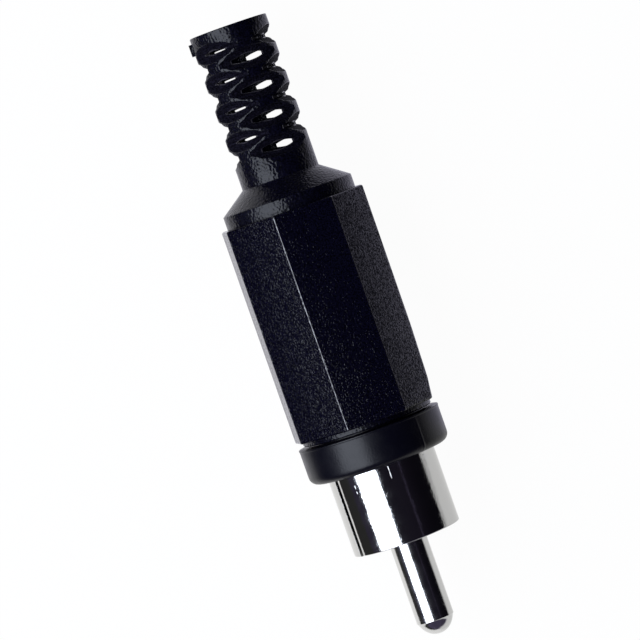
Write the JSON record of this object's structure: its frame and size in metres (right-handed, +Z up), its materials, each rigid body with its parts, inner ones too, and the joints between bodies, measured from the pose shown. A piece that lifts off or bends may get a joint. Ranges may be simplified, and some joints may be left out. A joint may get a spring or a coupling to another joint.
{
  "type": "rca plug",
  "caption": "Phono plug for screened audio cable: centre pin in a slit metal shell, black collar body and a screw-on octagonal handle with a slotted strain relief.",
  "frame": {"origin": "on the plug's axis, in the plane of the collar's front face, where the shell and the pin come out", "axes": "+X along the axis towards the tip of the centre pin, +Z up from the surface that the plug lies on, out of the upper flat of the octagonal handle"},
  "size_m": [0.0533, 0.0122, 0.0122],
  "materials": {
    "handle_plastic": "black, with a fine spark-eroded grain",
    "collar_plastic": "black, smooth satin",
    "shell_nickel": "bright nickel plate on rolled brass sheet",
    "pin_nickel": "bright nickel plate on turned brass",
    "clamp_nickel": "nickel plate on stamped brass sheet"
  },
  "bodies": {
    "contacts": {"collar_body": "collar_plastic", "ground_shell": "shell_nickel", "centre_pin": "pin_nickel", "ground_clamp": "clamp_nickel"},
    "handle": {"handle": "handle_plastic"}
  },
  "joints": [
    {"name": "handle_off", "type": "slide", "parent": "contacts", "child": "handle", "axis": [-1, 0, 0], "range_m": [0, 0.03]}
  ]
}
